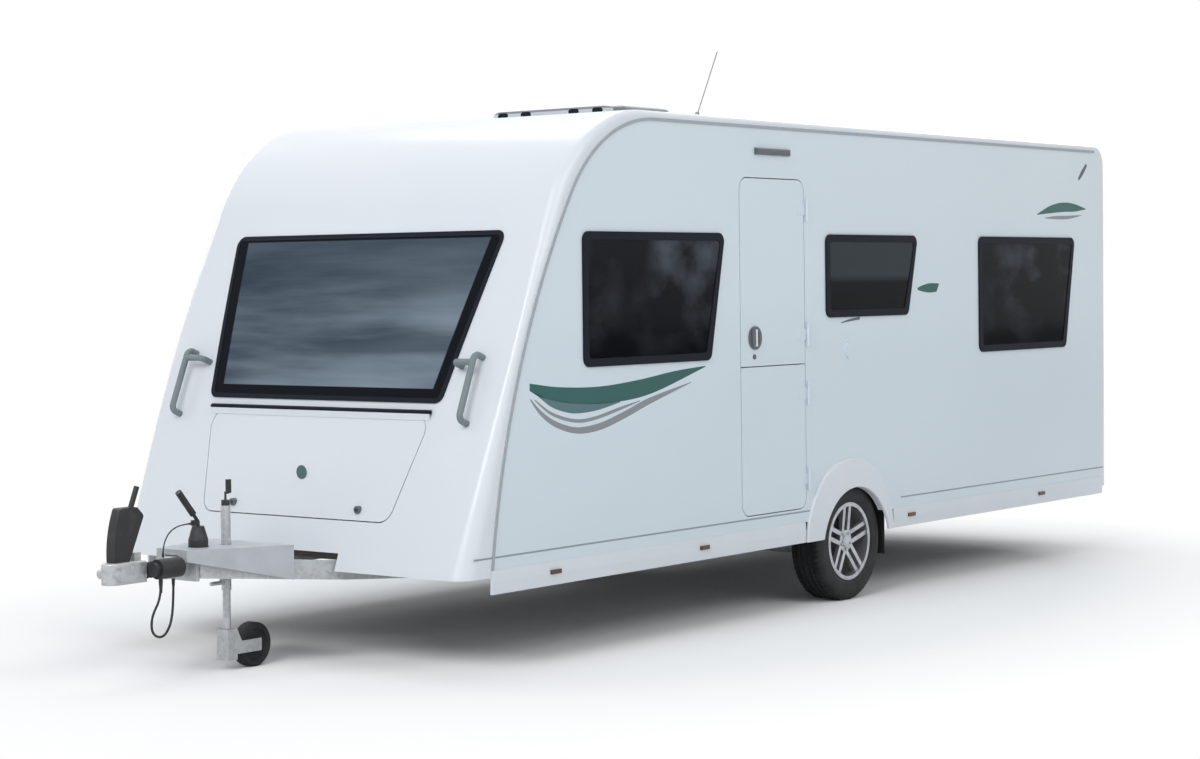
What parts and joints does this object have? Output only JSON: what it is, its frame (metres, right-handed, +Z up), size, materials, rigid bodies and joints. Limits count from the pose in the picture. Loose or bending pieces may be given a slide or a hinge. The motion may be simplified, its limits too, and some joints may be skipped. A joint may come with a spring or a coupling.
{
  "type": "single-axle travel caravan",
  "caption": "Travel caravan with a leaning front, hollow cabin, side door, drawbar with ball coupling, jockey wheel and corner steadies.",
  "frame": {"origin": "on the ground under the middle of the whole length, from coupling nose to rear face, on the centre plane", "axes": "+X to the caravan's left, the side with the door; +Y to the rear, so -Y points along the drawbar; +Z up"},
  "size_m": [2.238, 7.25, 2.8678],
  "materials": {
    "body_white": "glossy white shell with a cool tint",
    "trim_grey": "satin grey trim",
    "grab_grey": "moulded grey handle",
    "frame_black": "black window frame",
    "window_glass": "dark tinted acrylic pane",
    "dome_clear": "smoked rooflight dome",
    "galvanised": "hot-dip galvanised steel",
    "black_plastic": "grained black moulding",
    "hitch_black": "black coated coupling",
    "drum_iron": "brake drum",
    "alloy": "silver painted cast alloy",
    "tyre_rubber": "black tyre",
    "wheel_rubber": "black solid rubber",
    "soft_rubber": "black rubber",
    "aerial_steel": "thin steel whip",
    "floor_ply": "laminated wood",
    "lamp_lens": "lamp lens",
    "cord_black": "black sheathed cable",
    "cushion_cloth": "woven seat cover"
  },
  "bodies": {
    "shell": {"aerial": "aerial_steel", "arch_mouldings": "body_white", "awning_light": "trim_grey", "axle_beam": "galvanised", "breakaway_cable": "cord_black", "chassis_frame": "galvanised", "coupling_head": "hitch_black", "cushions": "cushion_cloth", "door_hinges": "galvanised", "drawbar_cover": "body_white", "drawbar_legs": "galvanised", "edge_rails": "trim_grey", "floor_panel": "floor_ply", "front_panel": "body_white", "furniture": "floor_ply", "gaiter": "soft_rubber", "grab_handles": "grab_grey", "handbrake_lever": "black_plastic", "jockey_crank": "black_plastic", "jockey_tube": "galvanised", "lid_hinge": "trim_grey", "locker_tub": "black_plastic", "marker_lamps": "lamp_lens", "mudflaps": "soft_rubber", "overrun_housing": "galvanised", "rear_lamps": "lamp_lens", "rear_panel": "body_white", "roof_panel": "body_white", "rooflight_base": "trim_grey", "side_wall_left": "body_white", "side_wall_right": "body_white", "side_windows": "window_glass", "skirts": "body_white", "stabiliser_handle": "black_plastic", "steady_brackets": "galvanised", "tow_lead": "cord_black", "tow_plug": "cord_black", "wall_vents": "body_white", "wheel_boxes": "black_plastic", "window_frames": "frame_black", "window_front": "window_glass", "window_rear": "window_glass"},
    "wheel_left": {"tyre_left": "tyre_rubber", "rim_left": "alloy", "drum_left": "drum_iron"},
    "wheel_right": {"tyre_right": "tyre_rubber", "rim_right": "alloy", "drum_right": "drum_iron"},
    "door_upper": {"door_upper": "body_white"},
    "door_lower": {"door_lower": "body_white"},
    "service_door": {"service_door": "body_white"},
    "locker_lid": {"locker_lid": "body_white"},
    "rooflight_dome": {"rooflight_dome": "dome_clear"},
    "jockey_stem": {"jockey_stem": "galvanised"},
    "jockey_fork": {"jockey_fork": "galvanised"},
    "jockey_wheel": {"jockey_wheel": "wheel_rubber"},
    "steady_front_left": {"steady_front_left": "galvanised"},
    "steady_front_right": {"steady_front_right": "galvanised"},
    "steady_rear_left": {"steady_rear_left": "galvanised"},
    "steady_rear_right": {"steady_rear_right": "galvanised"}
  },
  "joints": [
    {"name": "wheel_left_spin", "type": "hinge", "parent": "shell", "child": "wheel_left", "pos_m": [0.97, 0.63, 0.315], "axis": [1, 0, 0], "continuous": true},
    {"name": "wheel_right_spin", "type": "hinge", "parent": "shell", "child": "wheel_right", "pos_m": [-0.97, 0.63, 0.315], "axis": [1, 0, 0], "continuous": true},
    {"name": "door_upper_swing", "type": "hinge", "parent": "shell", "child": "door_upper", "pos_m": [1.112, 0.162, 1.3], "axis": [0, 0, 1], "range_deg": [0, 160]},
    {"name": "door_lower_swing", "type": "hinge", "parent": "shell", "child": "door_lower", "pos_m": [1.112, 0.162, 1.3], "axis": [0, 0, 1], "range_deg": [0, 160]},
    {"name": "service_door_swing", "type": "hinge", "parent": "shell", "child": "service_door", "pos_m": [-1.112, 2.774, 0.79], "axis": [0, 0, -1], "range_deg": [0, 120]},
    {"name": "locker_lid_lift", "type": "hinge", "parent": "shell", "child": "locker_lid", "pos_m": [0, -2.31831, 1.14], "axis": [-1, 0, 0], "range_deg": [0, 75]},
    {"name": "rooflight_lift", "type": "hinge", "parent": "shell", "child": "rooflight_dome", "pos_m": [0, -0.469, 2.5786], "axis": [1, 0, 0], "range_deg": [0, 50]},
    {"name": "jockey_wind", "type": "slide", "parent": "shell", "child": "jockey_stem", "axis": [0, 0, 1], "range_m": [0, 0.15]},
    {"name": "jockey_swivel", "type": "hinge", "parent": "jockey_stem", "child": "jockey_fork", "pos_m": [0, -2.915, 0.185], "axis": [0, 0, 1], "continuous": true},
    {"name": "jockey_wheel_spin", "type": "hinge", "parent": "jockey_fork", "child": "jockey_wheel", "pos_m": [0, -2.765, 0.1], "axis": [1, 0, 0], "continuous": true},
    {"name": "steady_front_left_drop", "type": "hinge", "parent": "shell", "child": "steady_front_left", "pos_m": [0.7, -2.21, 0.428], "axis": [-1, 0, 0], "range_deg": [0, 52]},
    {"name": "steady_front_right_drop", "type": "hinge", "parent": "shell", "child": "steady_front_right", "pos_m": [-0.7, -2.21, 0.428], "axis": [-1, 0, 0], "range_deg": [0, 52]},
    {"name": "steady_rear_left_drop", "type": "hinge", "parent": "shell", "child": "steady_rear_left", "pos_m": [0.7, 3.33, 0.428], "axis": [1, 0, 0], "range_deg": [0, 52]},
    {"name": "steady_rear_right_drop", "type": "hinge", "parent": "shell", "child": "steady_rear_right", "pos_m": [-0.7, 3.33, 0.428], "axis": [1, 0, 0], "range_deg": [0, 52]}
  ]
}
